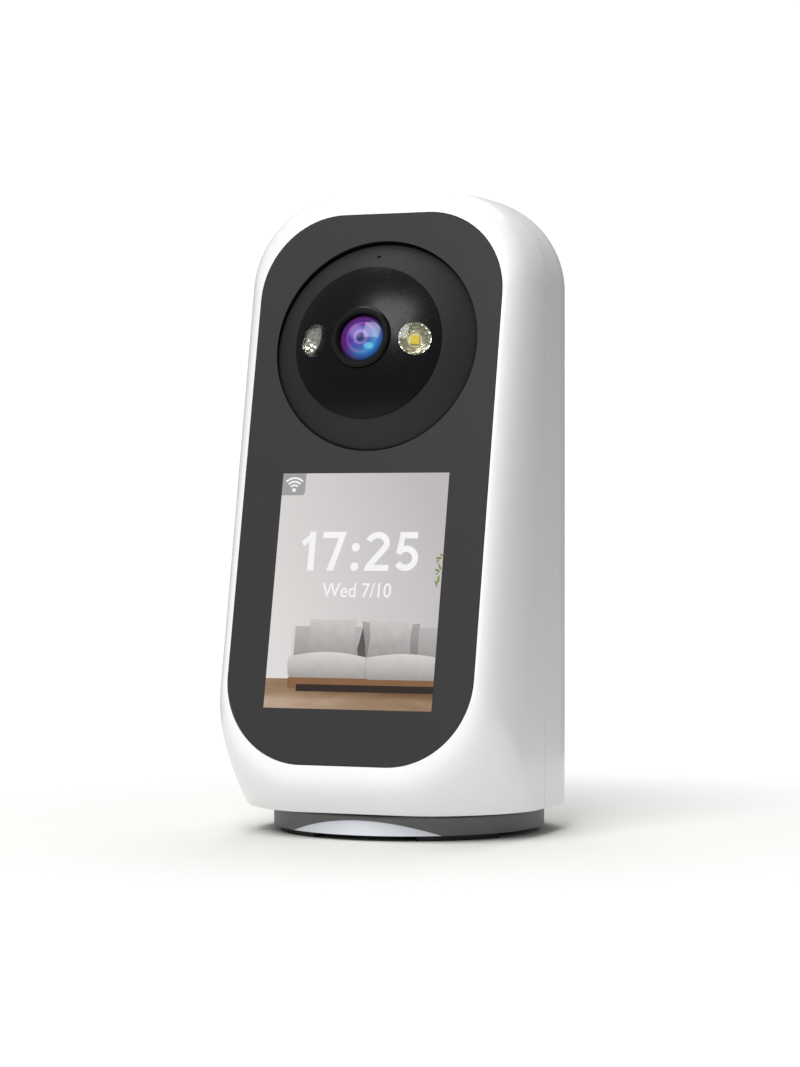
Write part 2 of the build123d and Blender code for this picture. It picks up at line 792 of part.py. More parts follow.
def tilt_sector():
    """Toothed sector on the eye's carrier, in mesh with the tilt motor's pinion."""
    frame = along_x(tilt_gear_x, eye_centre.Y, eye_centre.Z)
    blank = gear_outline(tilt_gear_teeth, tilt_module, tilt_mesh_direction, -5, 11)
    sector = extrude(frame * blank, tilt_gear_thickness)
    sector += rod(frame, 6.0, tilt_gear_thickness)
    right = tilt_gear_x + tilt_gear_thickness
    sector += EYE * block((tilt_gear_x, -4.6, 0), (right, 4.6, 6.9))
    sector -= rod(frame, pivot_radius + 0.3, tilt_gear_thickness)
    for y in sector_screw_y:
        sector -= EYE * local_rod(Pos(20, y, sector_screw_z) * Rot(0, 90, 0), 0.95, 20)
    return sector


# ---- tilt drive --------------------------------------------------------------------------
bracket_x = 25.0
yoke_back_y = 10.0
yoke_back_low = 109.5
yoke_back_high = 121.0
bracket_screw_spots = [(16.0, 112.5), (16.0, 118.0)]


def eye_yoke():
    """Fork that holds the eye's pivots, screwed to four posts of the front shell."""
    yoke = block((yoke_inner_x, yoke_tab_y, 84), (yoke_outer_x, 12, 143))
    yoke += block((27.5, yoke_tab_y, 84.2), (yoke_outer_x, yoke_tab_y + 2, 89.8))
    yoke += block((26.6, yoke_tab_y, 137.6), (yoke_outer_x, yoke_tab_y + 2, 142.6))
    yoke += mirror(yoke, about=Plane.YZ)
    yoke += block((-yoke_outer_x, yoke_back_y, yoke_back_low),
                  (yoke_outer_x, 12, yoke_back_high))
    yoke -= block((bracket_x + 1.2, yoke_back_y - 1, yoke_back_low - 1),
                  (yoke_inner_x, 13, eye_centre.Z + 1.6))
    yoke &= cavity(wall + 1.5)
    window = block((-50, -1, 92), (50, 7, 104)) + block((-50, -1, 124), (50, 7, 133))
    yoke -= window
    for x, z in yoke_screw_spots:
        yoke -= rod(along_y(x, yoke_tab_y - 1, z), 1.0, 5)
    for x, z in bracket_screw_spots:
        yoke -= rod(along_y(x, yoke_back_y - 1, z), pilot_radius, 5)
    yoke -= rod(along_x(-50, eye_centre.Y, eye_centre.Z), pivot_radius, 100)
    return yoke


def tilt_pivot_pins():
    start = arm_outer_x - arm_thickness + 0.1
    frame = along_x(start, eye_centre.Y, eye_centre.Z)
    pin = rod(frame, pivot_radius, yoke_outer_x - start)
    return group([pin, mirror(pin, about=Plane.YZ)])


def tilt_bracket():
    """Bent sheet that carries the tilt motor behind the eye."""
    front = bracket_x
    back = bracket_x + bracket_thickness
    bracket = block((front, -1.5, 86), (back, 24.5, yoke_back_low - 0.5))
    bracket += block((front, 12.1, 100), (back, 20, yoke_back_high - 1))
    bracket += block((12.5, 12.0, yoke_back_low + 0.5), (back, 13.0, yoke_back_high - 1))
    bracket -= rod(along_x(front - 1, pinion_y, pinion_z), 3.2, 4)
    frame = along_x(front - 1, pinion_y, pinion_z)
    for x, y in ear_spots(tilt_ear_direction):
        bracket -= rod(frame * Pos(x, y, 0), pilot_radius, 4)
    for x, z in bracket_screw_spots:
        bracket -= rod(along_y(x, 11, z), 1.0, 4)
    return bracket


bracket_thickness = 1.0
tilt_ear_direction = -40.0
TILT_MOTOR = along_x(bracket_x, pinion_y, pinion_z)
PAN_MOTOR = Plane(origin=(0, pan_pinion_y, motor_bottom), x_dir=(1, 0, 0), z_dir=(0, 0, -1))
shaft_inside = 5.5


def ear_spots(direction):
    return ring_spots(motor_ear_reach, (direction, direction + 180))


def motor(frame, ear_direction):
    """Small geared stepper: can, front plate with ears, nose round the shaft.  The frame's
    origin is where the shaft leaves the front plate, and z is the shaft's direction."""
    plate_back = Pos(0, 0, -motor_ear_thickness)
    body = local_rod(Pos(0, 0, -motor_ear_thickness - motor_length), motor_radius, motor_length)
    body = chamfer(body.edges().group_by(Axis.Z)[0], 0.6)
    body += local_rod(plate_back, motor_radius, motor_ear_thickness)
    body += Rot(0, 0, ear_direction) * block((-motor_ear_reach, -3, -motor_ear_thickness),
                                             (motor_ear_reach, 3, 0))
    for x, y in ear_spots(ear_direction):
        body += local_rod(plate_back * Pos(x, y, 0), 3.0, motor_ear_thickness)
    for x, y in ear_spots(ear_direction):
        body -= local_rod(Pos(x, y, -3), 0.95, 4)
    body += local_rod(Pos(0, 0, 0), 2.8, 0.8)
    body -= local_rod(Pos(0, 0, -shaft_inside - 0.5), motor_shaft_radius + 0.05, 10)
    return frame * body


def motor_screw_places(frame, ear_direction):
    return [frame * Pos(x, y, -motor_ear_thickness) * Rot(180, 0, 0)
            for x, y in ear_spots(ear_direction)]


def bracket_screws():
    """Four short screws: two hold the bracket to the fork, two hold the tilt motor."""
    places = [along_y(x, yoke_back_y + 3, z) for x, z in bracket_screw_spots]
    places += motor_screw_places(TILT_MOTOR, tilt_ear_direction)
    return group([screw(place, 1.8, pilot_radius, 1.5, 0.7) for place in places])


def tower_screws():
    """Twelve equal screws: fork, swivel motor, main board and port board."""
    places = [along_y(x, yoke_tab_y + 2, z) for x, z in yoke_screw_spots]
    places += motor_screw_places(PAN_MOTOR, 0)
    places += [PANEL * Pos(x, v, -board_back) * Rot(180, 0, 0) for x, v in board_screw_spots]
    places += [Plane((x, y, port_board_z + board_thickness)) for x, y in port_post_spots]
    return group([screw(place, 5.0, pilot_radius, 1.7, 1.0) for place in places])


def motor_shaft(frame, length):
    return frame * local_rod(Pos(0, 0, -shaft_inside), motor_shaft_radius, shaft_inside + length)


def tilt_pinion():
    """Pinion with a tooth gap that faces the sector."""
    gap_direction = tilt_mesh_direction + 180
    start = tilt_gear_x - 0.2
    outline_face = gear_outline(tilt_pinion_teeth, tilt_module,
                                gap_direction + 180 / tilt_pinion_teeth)
    frame = along_x(start, pinion_y, pinion_z)
    return extrude(frame * outline_face, 3.2) - rod(frame, motor_shaft_radius, 3.2)


# ---- pan drive and floor -----------------------------------------------------------------
def pan_pinion():
    outline_face = gear_outline(pan_pinion_teeth, pan_module, 90 + 180 / pan_pinion_teeth)
    frame = Plane((0, pan_pinion_y, pan_gear_bottom - 0.1))
    height = pan_gear_thickness + 0.2
    return extrude(frame * outline_face, height) - rod(frame, motor_shaft_radius, height)


def hub_flats(radius, low, high):
    """Round bar with two flats, for the hub's top and the bore of the gear on it."""
    bar = rod(Plane((0, 0, low)), radius, high - low)
    return bar & block((-hub_flat_x, -20, low), (hub_flat_x, 20, high))


def pan_gear():
    """Fixed gear on the base's hub; the tower's motor drives itself round it."""
    top = pan_gear_bottom + pan_gear_thickness
    blank = extrude(Plane((0, 0, pan_gear_bottom)) * gear_outline(pan_gear_teeth, pan_module, -90),
                    pan_gear_thickness)
    return blank - hub_flats(hub_radius, pan_gear_bottom, top)


hub_screw_circle = 6.25
hub_screw_angles = (30, 150, 270)
hub_cap_thickness = 1.2


def hub_cap():
    """Ring that keeps the gear on the hub."""
    top = pan_gear_bottom + pan_gear_thickness
    ring = tube(Plane((0, 0, top)), hub_radius + 2.4, hub_bore_radius, hub_cap_thickness)
    for x, y in ring_spots(hub_screw_circle, hub_screw_angles):
        ring -= rod(Plane((x, y, top - 1)), 1.0, 5)
    return ring


def hub_screws():
    top = pan_gear_bottom + pan_gear_thickness + hub_cap_thickness
    return group([screw(Plane((x, y, top)), 5, pilot_radius, 1.5, 0.9)
                  for x, y in ring_spots(hub_screw_circle, hub_screw_angles)])


def pan_washer():
    return tube(Plane((0, 0, base_top)), 13.0, hub_radius + 0.2, body_bottom - base_top)


# ---- base --------------------------------------------------------------------------------
base_screw_spots = ring_spots(24.0, (0, 120, 240))
base_plate_radius = base_radius - base_wall - 0.1
base_plate_top = base_bottom + 1.2


def inlay_shape(grow):
    """Low arch on the front of the base: a wide upright disc cuts the wall of the base."""
    arch_radius = (inlay_half_width ** 2 + inlay_rise ** 2) / (2 * inlay_rise) + grow
    centre_z = base_bottom + inlay_rise - arch_radius + grow
    arch = rod(along_y(0, -60, centre_z), arch_radius, 60)
    skin = tube(Plane((0, 0, base_bottom)), base_radius, base_radius - inlay_thickness, 10)
    return arch & skin


def base_housing():
    """Round base: wall, deck and the hollow hub that the tower turns on."""
    base = rod(Plane((0, 0, base_bottom)), base_radius, base_top - base_bottom)
    top_rim = base.edges().group_by(Axis.Z)[-1]
    base = fillet(top_rim, 0.5)
    base -= rod(Plane((0, 0, 0)), base_radius - base_wall, base_top - base_deck)
    base += rod(Plane((0, 0, base_top - base_deck)), hub_radius,
                pan_gear_bottom - base_top + base_deck)
    base += hub_flats(hub_radius, pan_gear_bottom - 0.3, pan_gear_bottom + pan_gear_thickness)
    for x, y in base_screw_spots:
        base += rod(Plane((x, y, base_plate_top)), 2.4, base_top - base_plate_top - 1)
        base -= rod(Plane((x, y, base_plate_top)), pilot_radius, base_top - base_plate_top - 1)
    base -= rod(Plane((0, 0, 0)), hub_bore_radius, 40)
    for x, y in ring_spots(hub_screw_circle, hub_screw_angles):
        base -= rod(Plane((x, y, pan_gear_bottom - 2.5)), pilot_radius, 10)
    return base - inlay_shape(0)


def base_inlay():
    return inlay_shape(-0.04)


def base_plate():
    plate = rod(Plane((0, 0, base_bottom)), base_plate_radius, base_plate_top - base_bottom)
    plate -= rod(Plane((0, 0, 0)), hub_bore_radius + 0.5, 10)
    for x, y in base_screw_spots:
        plate -= rod(Plane((x, y, 0)), 1.0, 10)
        plate -= rod(Plane((x, y, base_bottom)), 1.8, 0.7)
    return plate


def base_screws():
    seat = base_bottom + 0.7
    return group([screw(Plane(origin=(x, y, seat), x_dir=(1, 0, 0), z_dir=(0, 0, -1)), 2.8,
                        pilot_radius, 1.5, 0.65) for x, y in base_screw_spots])


def foot(direction):
    """Curved rubber pad under the rim of the base."""
    ring = tube(Plane((0, 0, 0)), foot_outer_radius, foot_inner_radius, base_bottom)
    reach = 60.0
    first = math.radians(direction - foot_half_angle)
    last = math.radians(direction + foot_half_angle)
    wedge = make_face(Polyline((0, 0), (reach * math.cos(first), reach * math.sin(first)),
                               (reach * math.cos(last), reach * math.sin(last)), close=True))
    pad = ring & extrude(wedge, base_bottom)
    return fillet(pad.edges().filter_by(Axis.Z), 0.8)


def rubber_feet():
    """One moulding: a thin ring that joins the four pads."""
    feet = tube(Plane((0, 0, 0)), foot_ring_radius, foot_ring_radius - 1.8, base_bottom)
    for direction in (45, 135, 225, 315):
        feet += foot(direction)
    return feet


# ---- electronics, speaker and button -----------------------------------------------------
def main_board():
    depth = main_board_depth
    board = panel_block((-31, -50, -depth - board_thickness), (31, -4, -depth))
    for x, v in board_screw_spots:
        board -= rod(PANEL * Pos(x, v, -depth - 3), 1.0, 6)
    return board


board_back = main_board_depth + board_thickness


def processor_shield():
    return panel_block((-11, -32, -board_back - 2.2), (9, -12, -board_back))


def wifi_module():
    board = panel_block((12, -24, -board_back - 0.8), (24, -8, -board_back))
    return board + panel_block((13, -22, -board_back - 2.2), (23, -13, -board_back - 0.8))


def board_sockets():
    """White plug sockets for the eye, motor, speaker and port leads."""
    spots = [(-24, -16, 6), (-24, -26, 8), (-24, -38, 10), (16, -42, 10)]
    return group([panel_block((x - 2, v - half, -board_back - 3.4), (x + 2, v + half - 2, -board_back))
                  for x, v, half in [(x, v, length / 2) for x, v, length in spots]])


def port_board():
    low = port_board_z
    high = low + board_thickness
    board = block((-40, 5, low), (22, 28, high)) + block((-7, 28, low), (7, 34.2, high))
    board &= cavity(wall + 0.4)
    for x, y in rear_floor_spots:
        board -= rod(Plane((x, y, low - 1)), boss_radius + 0.6, 5)
    for x, y in port_post_spots:
        board -= rod(Plane((x, y, low - 1)), 1.0, 5)
    return board


def usb_c_socket():
    """Shell of the power inlet, open at the back, with its contact tongue."""
    start = 29.0
    shell = stadium(0, start, socket_z, 8.94, 3.26, 7.4)
    shell -= stadium(0, start + 1.2, socket_z, 8.34, 2.66, 10)
    return shell + block((-3.3, start + 1, socket_z - 0.35), (3.3, start + 6.4, socket_z + 0.35))


def card_socket():
    z = port_board_z + board_thickness
    case = block((-31.8, card_y - 7, z), (-18.6, card_y + 7, z + 1.9))
    return case - block((-34, card_y - 5.6, z + 0.4), (-20.2, card_y + 5.6, z + 1.3))


button_flange_y = 29.4
button_travel = 0.6


def reset_button():
    """Small round button on the back with a retaining flange inside."""
    button = rod(along_y(button_x, 27.2, button_z), 1.2, 3)
    button += rod(along_y(button_x, button_flange_y, button_z), 3.6, 0.9)
    stem = rod(along_y(button_x, button_flange_y, button_z), 2.43, 6.0)
    outer_edge = stem.edges().filter_by(GeomType.CIRCLE).sort_by(Axis.Y)[-1]
    return button + fillet(outer_edge, 0.4)


def reset_switch():
    z = port_board_z + board_thickness
    case = block((button_x - 3, 22.0, z), (button_x + 3, 25.6, z + 4.2))
    return case + rod(along_y(button_x, 25.6, button_z), 1.1, 0.9)


def speaker_part(points):
    """Turned part about the speaker's axis; points are radius and y."""
    corners = [Vector(r, y, speaker_z) for r, y in points]
    profile = make_face(Polyline(*corners, close=True))
    return revolve(profile, Axis((0, 0, speaker_z), (0, 1, 0)), 360)


def speaker_basket():
    y = speaker_back_y
    return speaker_part([(speaker_radius, y), (15.5, y), (15.5, y - 1.2), (10.0, y - 6.2),
                         (0.0, y - 6.2), (0.0, y - 7.2), (10.6, y - 7.2), (17.0, y - 1.6),
                         (speaker_radius, y - 1.6)])


def speaker_magnet():
    y = speaker_back_y - 7.2
    return rod(along_y(0, y - 4.5, speaker_z), 9.5, 4.5)


def speaker_cone():
    y = speaker_back_y
    return speaker_part([(15.3, y - 0.3), (15.3, y - 0.7), (6.0, y - 4.6), (0.0, y - 3.6),
                         (0.0, y - 3.3), (6.0, y - 4.1), (14.2, y - 0.3)])


# ---- write every piece -------------------------------------------------------------------
def save(name, shape):
    solids = shape.solids()
    export_step(solids[0] if len(solids) == 1 else Compound(children=list(solids)),
                f"parts/{name}.step")


os.makedirs("parts", exist_ok=True)
outer = envelope()
inner = cavity()

pieces = {
    "front_shell": front_shell(outer, inner),
    "rear_cover": rear_cover(outer, inner),
    "floor_plate": floor_plate(),
    "floor_screws": floor_screws(),
    "tower_screws": tower_screws(),
    "front_panel": front_panel(),
    "panel_tape": panel_tape(),
    "screen_window": screen_window(),
    "screen_cell": screen_cell(),
    "screen_backlight": screen_backlight(),
    "screen_tray": screen_tray(),
    "screen_ribbon": screen_ribbon(),
    "eye_shell": eye_shell(),
    "eye_dome": eye_dome(),
    "eye_carrier": eye_carrier(),
    "eye_screws": eye_screws(),
    "camera_board": camera_board(),
    "image_sensor": image_sensor(),
    "lens_holder": lens_holder(),
    "lens_barrel": lens_barrel(),
    "lens_inner_glasses": group([lens_rear_glass(), lens_middle_glass()]),
    "lens_front_glass": lens_front_glass(),
    "lens_ring": lens_ring(),
    "lamp_boards": both_sides(lamp_board),
    "lamp_leds": both_sides(lamp_led),
    "lamp_reflectors": both_sides(lamp_reflector),
    "lamp_lenses": both_sides(lamp_lens),
    "microphone": microphone(),
    "microphone_boot": microphone_boot(),
    "tilt_sector": tilt_sector(),
    "eye_yoke": eye_yoke(),
    "tilt_pivot_pins": tilt_pivot_pins(),
    "tilt_bracket": tilt_bracket(),
    "bracket_screws": bracket_screws(),
    "tilt_motor": motor(TILT_MOTOR, tilt_ear_direction),
    "tilt_shaft": motor_shaft(TILT_MOTOR, 4.8),
    "tilt_pinion": tilt_pinion(),
    "pan_motor": motor(PAN_MOTOR, 0),
    "pan_shaft": motor_shaft(PAN_MOTOR, motor_bottom - pan_gear_bottom + 0.5),
    "pan_pinion": pan_pinion(),
    "pan_gear": pan_gear(),
    "hub_cap": hub_cap(),
    "hub_screws": hub_screws(),
    "pan_washer": pan_washer(),
    "base_housing": base_housing(),
    "base_inlay": base_inlay(),
    "base_plate": base_plate(),
    "base_screws": base_screws(),
    "rubber_feet": rubber_feet(),
    "main_board": main_board(),
    "main_board_parts": group([processor_shield(), wifi_module()]),
    "board_sockets": board_sockets(),
    "port_board": port_board(),
    "usb_c_socket": usb_c_socket(),
    "card_socket": card_socket(),
    "reset_button": reset_button(),
    "reset_switch": reset_switch(),
    "speaker_basket": speaker_basket(),
    "speaker_cone": speaker_cone(),
    "speaker_magnet": speaker_magnet(),
}
for name, shape in pieces.items():
    save(name, shape)
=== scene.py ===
import json
import math

import bmesh
import bpy
from mathutils import Matrix, Vector


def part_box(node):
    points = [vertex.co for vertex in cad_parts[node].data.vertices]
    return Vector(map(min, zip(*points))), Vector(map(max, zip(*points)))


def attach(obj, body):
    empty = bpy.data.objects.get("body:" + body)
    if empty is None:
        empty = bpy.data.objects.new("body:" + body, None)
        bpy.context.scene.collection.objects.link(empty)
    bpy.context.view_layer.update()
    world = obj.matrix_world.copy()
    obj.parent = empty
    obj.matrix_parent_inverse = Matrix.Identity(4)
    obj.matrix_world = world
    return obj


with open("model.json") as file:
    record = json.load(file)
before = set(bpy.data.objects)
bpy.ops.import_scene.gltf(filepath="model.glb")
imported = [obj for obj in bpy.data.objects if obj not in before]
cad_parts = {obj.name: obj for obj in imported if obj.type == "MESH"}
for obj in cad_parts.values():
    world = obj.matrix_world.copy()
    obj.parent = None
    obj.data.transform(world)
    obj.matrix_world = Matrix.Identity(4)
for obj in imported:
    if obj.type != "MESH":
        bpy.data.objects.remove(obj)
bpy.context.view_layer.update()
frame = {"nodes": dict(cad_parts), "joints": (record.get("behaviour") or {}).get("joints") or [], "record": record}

MM = 0.001
LEAN = math.radians(12.1)          # the panel leans back by this much
joints = {joint["name"]: joint for joint in frame["joints"]}

# ---- places, worked out from the frame ---------------------------------------------------
eye_centre = Vector(joints["tilt"]["pos_m"])
panel_turn = Matrix.Rotation(math.pi / 2 - LEAN, 4, "X")      # z out of the panel, y up it
window_low, window_high = (Vector(corner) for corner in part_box("screen_window"))
screen_middle = (window_low + window_high) / 2
HALF_W = (window_high.x - window_low.x) / MM / 2    # half the picture's width, in millimetres
HALF_H = HALF_W * 4 / 3
PICTURE_LAYER = 0.02 * MM
PICTURE_DEPTH = 0.25 * MM          # the picture starts this far behind the middle of the window
LENS_RADIUS = 5.8                  # in millimetres, like all places inside the materials


# ---- node helpers ------------------------------------------------------------------------
class Nodes:
    """A material or world tree, with one short call for each kind of node."""

    def __init__(self, tree):
        self.tree = tree
        tree.nodes.clear()

    def add(self, kind, inputs=None, **settings):
        node = self.tree.nodes.new(kind)
        for name, value in settings.items():
            setattr(node, name, value)
        for name, value in (inputs or {}).items():
            if isinstance(value, bpy.types.NodeSocket):
                self.tree.links.new(value, node.inputs[name])
            else:
                node.inputs[name].default_value = value
        return node

    def math(self, operation, first, second):
        return self.add("ShaderNodeMath", {0: first, 1: second}, operation=operation).outputs[0]

    def place(self, origin=(0, 0, 0), rotation=(0, 0, 0)):
        """Object coordinates in a frame of their own, in millimetres."""
        start = self.add("ShaderNodeTexCoord").outputs["Object"]
        mapping = self.add("ShaderNodeMapping", {"Vector": start, "Location": origin,
                                                 "Rotation": rotation, "Scale": (MM, MM, MM)},
                           vector_type="TEXTURE")
        return mapping.outputs[0]

    def noise(self, vector, scale, detail=3.0):
        return self.add("ShaderNodeTexNoise", {"Vector": vector, "Scale": scale,
                                               "Detail": detail, "Roughness": 0.55}).outputs[0]

    def mix(self, factor, first, second):
        """Blend of two colours."""
        return self.add("ShaderNodeMix", {"Factor": factor, "A": first, "B": second},
                        data_type="RGBA").outputs["Result"]

    def stretch(self, vector, scales):
        return self.add("ShaderNodeVectorMath", {0: vector, 1: scales},
                        operation="MULTIPLY").outputs[0]

    def length(self, vector):
        return self.add("ShaderNodeVectorMath", {0: vector}, operation="LENGTH").outputs["Value"]

    def ramp(self, value, stops):
        """Colour that follows a value through a list of (position, colour) stops."""
        node = self.add("ShaderNodeValToRGB", {"Fac": value})
        elements = node.color_ramp.elements
        while len(elements) < len(stops):
            elements.new(0.5)
        for element, (position, color) in zip(elements, stops):
            element.position = position
            element.color = (*color, 1.0)
        return node.outputs[0]

    def span(self, value, low, high, from_low=0.0, from_high=1.0):
        """Value carried from one range to another and kept inside it."""
        return self.add("ShaderNodeMapRange", {"Value": value, "From Min": from_low,
                                               "From Max": from_high, "To Min": low,
                                               "To Max": high}).outputs[0]

    def bump(self, height, strength, distance=0.00005):
        return self.add("ShaderNodeBump", {"Height": height, "Strength": strength,
                                           "Distance": distance}).outputs[0]

    def finish(self, shader):
        self.add("ShaderNodeOutputMaterial", {"Surface": shader})


def new_material(name):
    material = bpy.data.materials.new(name)
    material.use_nodes = True
    return material, Nodes(material.node_tree)


GLOSS_SPREAD = 0.05


def grained(name, color, roughness, grain=2.5, strength=0.15, coat=0.0, tint=0.04, specular=0.5):
    """Moulded or painted surface: fine grain, uneven gloss and a little colour drift."""
    material, n = new_material(name)
    here = n.place()
    fine = n.noise(here, grain, 4.0)
    broad = n.noise(here, 0.05, 2.0)
    shade = n.mix(n.span(broad, 0.0, 1.0, 0.3, 0.7), (*[c * (1 - tint) for c in color], 1),
                  (*[min(1, c * (1 + tint)) for c in color], 1))
    shader = n.add("ShaderNodeBsdfPrincipled", {
        "Base Color": shade,
        "Roughness": n.span(fine, roughness - GLOSS_SPREAD, roughness + GLOSS_SPREAD, 0.3, 0.7),
        "Specular IOR Level": specular, "Coat Weight": coat, "Coat Roughness": 0.12,
        "Normal": n.bump(fine, strength)})
    n.finish(shader.outputs[0])
    return material


def brushed(name, color, roughness, scales=(0.15, 4.0, 4.0)):
    """Metal with lines along one direction."""
    material, n = new_material(name)
    lines = n.noise(n.stretch(n.place(), scales), 2.0, 5.0)
    shader = n.add("ShaderNodeBsdfPrincipled", {
        "Base Color": n.ramp(lines, [(0.3, [c * 0.85 for c in color]), (0.7, color)]),
        "Metallic": 1.0, "Roughness": n.span(lines, roughness * 0.7, roughness * 1.3, 0.3, 0.7),
        "Normal": n.bump(lines, 0.2)})
    n.finish(shader.outputs[0])
    return material


def board_material():
    """Green solder mask with a faint pattern of tracks and pads."""
    material, n = new_material("circuit_board")
    here = n.place()
    tracks = n.add("ShaderNodeTexVoronoi", {"Vector": here, "Scale": 0.45},
                   distance="MANHATTAN", feature="DISTANCE_TO_EDGE").outputs["Distance"]
    line = n.math("LESS_THAN", tracks, 0.05)
    pads = n.add("ShaderNodeTexVoronoi", {"Vector": here, "Scale": 0.35}).outputs["Distance"]
    pad = n.math("LESS_THAN", pads, 0.13)
    green = n.mix(line, (0.008, 0.09, 0.045, 1), (0.015, 0.16, 0.08, 1))
    shader = n.add("ShaderNodeBsdfPrincipled", {
        "Base Color": n.mix(pad, green, (0.75, 0.55, 0.25, 1)),
        "Metallic": n.math("MULTIPLY", pad, 0.9),
        "Roughness": n.span(n.noise(here, 1.5), 0.3, 0.45),
        "Normal": n.bump(line, 0.3)})
    n.finish(shader.outputs[0])
    return material


def thin_glass(name, tint=(1, 1, 1), roughness=0.03):
    """Clear pane: straight through, with a mirror-like surface and faint smears."""
    material, n = new_material(name)
    smear = n.noise(n.place(), 0.12, 3.0)
    clear = n.add("ShaderNodeBsdfTransparent", {"Color": (*tint, 1)}).outputs[0]
    shine = n.add("ShaderNodeBsdfGlossy", {
        "Color": (1, 1, 1, 1),
        "Roughness": n.span(smear, roughness, roughness + 0.05)}).outputs[0]
    facing = n.add("ShaderNodeFresnel", {"IOR": 1.45}).outputs[0]
    mix = n.add("ShaderNodeMixShader", {"Fac": facing, 1: clear, 2: shine})
    n.finish(mix.outputs[0])
    return material


def coated_lens():
    """Front element of the lens: deep glass with purple, magenta, blue and cyan coatings, whose reflections are
    painted into its colour as rings, a cyan side and two painted reflection spots, with a faint painted glow.
    """
    material, n = new_material("coated_glass")
    here = n.place(eye_centre, (math.pi / 2 - LEAN, 0, 0))
    parts = n.add("ShaderNodeSeparateXYZ", {"Vector": here})
    x, y = parts.outputs["X"], parts.outputs["Y"]
    flat = n.add("ShaderNodeCombineXYZ", {"X": x, "Y": y}).outputs[0]
    out = n.math("DIVIDE", n.length(flat), LENS_RADIUS)
    rings = n.ramp(out, [
        (0.0, (0.03, 0.03, 0.12)), (0.16, (0.02, 0.02, 0.10)), (0.27, (0.34, 0.24, 0.62)),
        (0.34, (0.10, 0.05, 0.36)), (0.5, (0.04, 0.03, 0.28)), (0.62, (0.26, 0.04, 0.30)),
        (0.70, (0.035, 0.02, 0.18)), (0.86, (0.12, 0.02, 0.16)), (1.0, (0.01, 0.01, 0.03))])
    # painted reflection: the coatings turn cyan towards one side
    side = n.math("ADD", n.math("MULTIPLY", x, 0.75), n.math("MULTIPLY", y, -0.66))
    cool = n.span(side, 0.0, 1.0, -1.5, 4.5)
    cyan = n.ramp(out, [
        (0.0, (0.02, 0.02, 0.1)), (0.35, (0.03, 0.11, 0.36)), (0.62, (0.04, 0.30, 0.58)),
        (0.8, (0.02, 0.12, 0.42)), (1.0, (0.01, 0.02, 0.05))])
    tone = n.mix(cool, rings, cyan)

    def spot(cx, cy, rx, ry):
        """Soft oval painted reflection, 1 in its middle and 0 outside."""
        dx = n.math("DIVIDE", n.math("SUBTRACT", x, cx), rx)
        dy = n.math("DIVIDE", n.math("SUBTRACT", y, cy), ry)
        square = n.math("ADD", n.math("MULTIPLY", dx, dx), n.math("MULTIPLY", dy, dy))
        return n.span(square, 1.0, 0.0, 0.2, 1.0)

    # painted reflections: a pale lilac spot and a cyan spot mixed into the colour
    pale = n.mix(n.math("MULTIPLY", spot(-1.3, 1.5, 2.3, 2.1), 0.25), tone, (0.62, 0.5, 0.95, 1))
    color = n.mix(n.math("MULTIPLY", spot(2.1, -2.1, 1.5, 1.0), 0.5), pale, (0.2, 0.75, 0.95, 1))
    shader = n.add("ShaderNodeBsdfPrincipled", {
        "Base Color": color, "Roughness": 0.15, "Specular IOR Level": 0.15,
        "Coat Weight": 0.3, "Coat Roughness": 0.05,
        # faint painted glow: the lens emits its own painted colour, though it is no lamp
        "Emission Color": color, "Emission Strength": 0.05,
        "Normal": n.bump(n.noise(here, 0.3), 0.02)})
    n.finish(shader.outputs[0])
    return material


def reflector_material():
    """Facetted bright reflector."""
    material, n = new_material("reflector")
    cells = n.add("ShaderNodeTexVoronoi", {"Vector": n.place(), "Scale": 0.9}).outputs["Distance"]
    shader = n.add("ShaderNodeBsdfPrincipled", {
        "Base Color": n.ramp(cells, [(0.1, (1.0, 1.0, 0.94)), (0.8, (0.75, 0.76, 0.66))]),
        "Metallic": 0.75, "Roughness": 0.15, "Normal": n.bump(cells, 0.8, 0.0003)})
    n.finish(shader.outputs[0])
    return material


def emissive(name, make_color):
    """A lit part of the display; make_color gets the nodes and the place on the screen."""
    material, n = new_material(name)
    here = n.place(screen_middle, (math.pi / 2 - LEAN, 0, 0))
    parts = n.add("ShaderNodeSeparateXYZ", {"Vector": here})
    color = make_color(n, here, parts.outputs["X"], parts.outputs["Y"])
    n.finish(n.add("ShaderNodeEmission", {"Color": color, "Strength": 1.0}).outputs[0])
    return material


# ---- materials of the CAD nodes ----------------------------------------------------------
def wall_color(n, here, x, y):
    """Plain warm-grey wall, lighter on the left and towards the sofa."""
    across = n.add("ShaderNodeCombineXYZ", {"X": x, "Y": y}).outputs[0]
    drift = n.noise(across, 0.03, 1.0)
    slope = n.math("ADD", n.math("MULTIPLY", x, 0.018), n.math("MULTIPLY", y, 0.008))
    value = n.math("ADD", n.math("ADD", slope, 0.42), n.math("MULTIPLY", drift, 0.15))
    return n.ramp(value, [(0.0, (0.75, 0.73, 0.72)), (0.45, (0.67, 0.635, 0.63)),
                          (0.75, (0.60, 0.565, 0.57)), (1.0, (0.53, 0.495, 0.50))])


